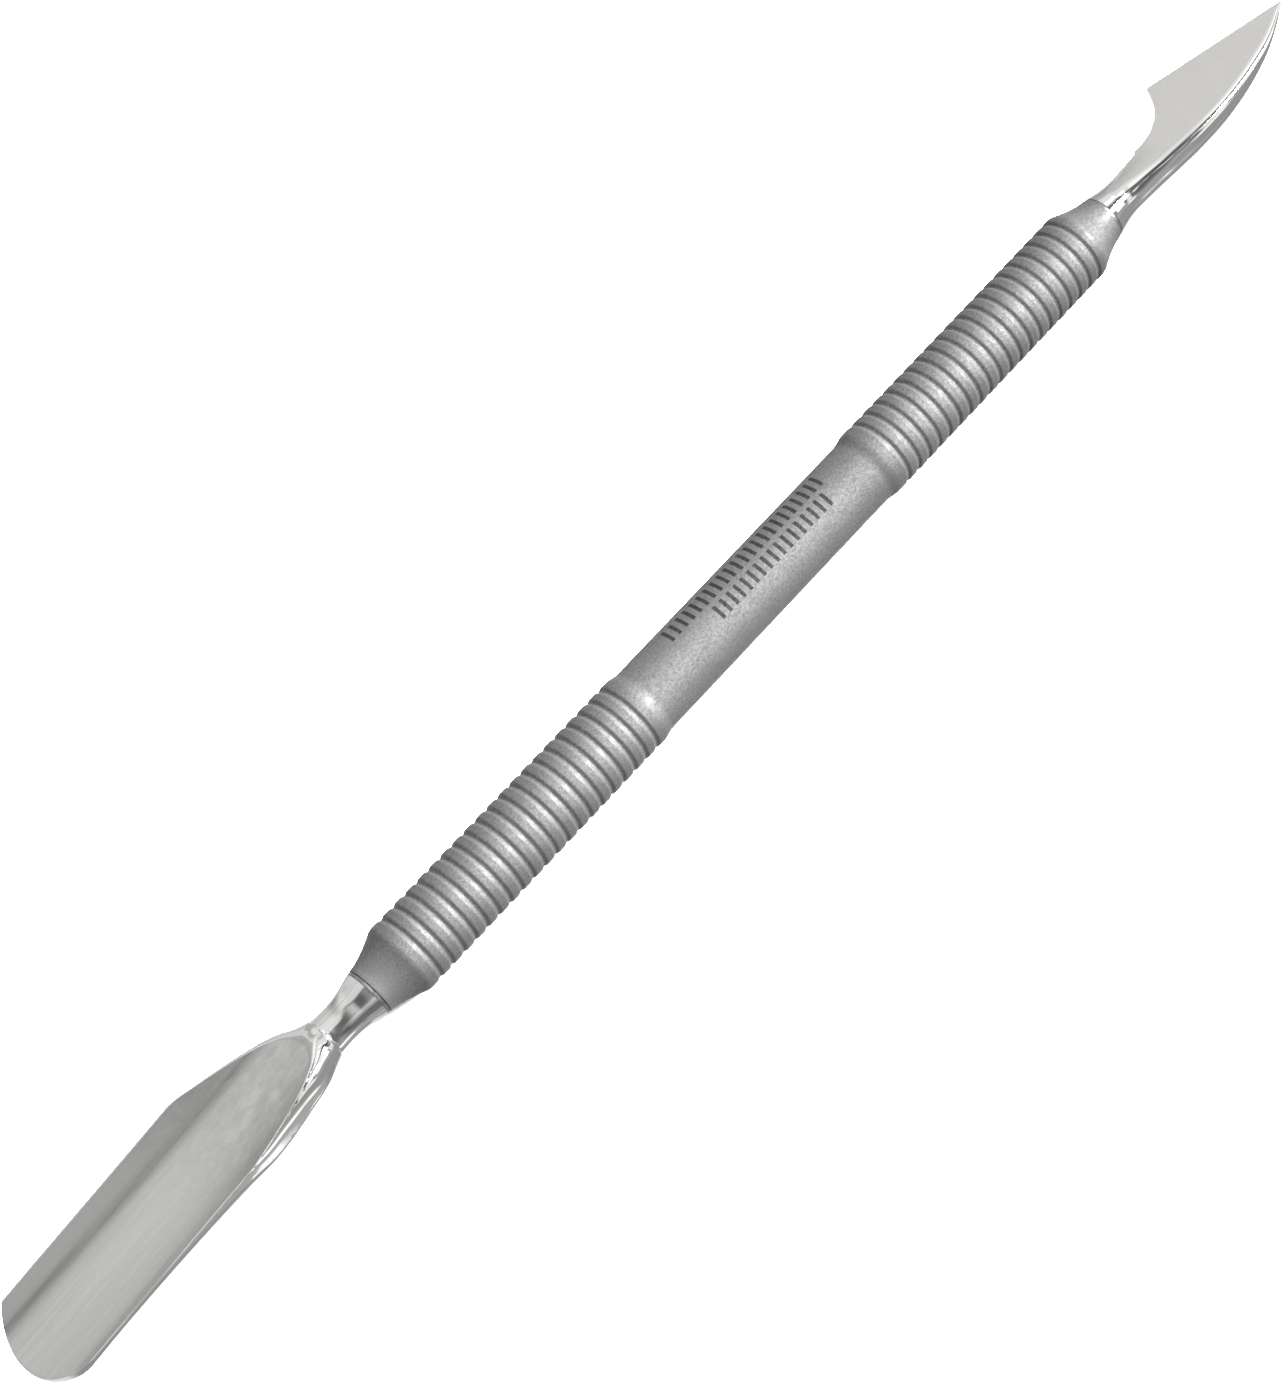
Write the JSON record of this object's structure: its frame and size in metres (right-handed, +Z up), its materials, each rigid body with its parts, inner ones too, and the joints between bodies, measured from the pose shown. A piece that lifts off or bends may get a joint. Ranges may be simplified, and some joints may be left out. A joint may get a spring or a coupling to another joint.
{
  "type": "cuticle pusher",
  "caption": "Double-ended cuticle pusher with a ribbed hollow handle, a wide hollow-ground pusher blade and a small flat-ground knife.",
  "frame": {"origin": "on the surface that the tool lies on, under the middle of its bounding box; the handle's axis is 3 mm above it", "axes": "+X along the handle from the pusher to the knife; +Z up, the side that both working faces look to; +Y to the side of the knife's cutting edge"},
  "size_m": [0.1418, 0.0094, 0.006],
  "materials": {
    "blasted_steel": "sand-blasted satin",
    "polished_steel": "polished, with satin-ground working faces",
    "braze_alloy": "dull"
  },
  "bodies": {
    "root": {"handle_tube": "blasted_steel", "pusher_end": "polished_steel", "knife_end": "polished_steel", "pusher_seam_ring": "braze_alloy", "knife_seam_ring": "braze_alloy"}
  },
  "joints": []
}
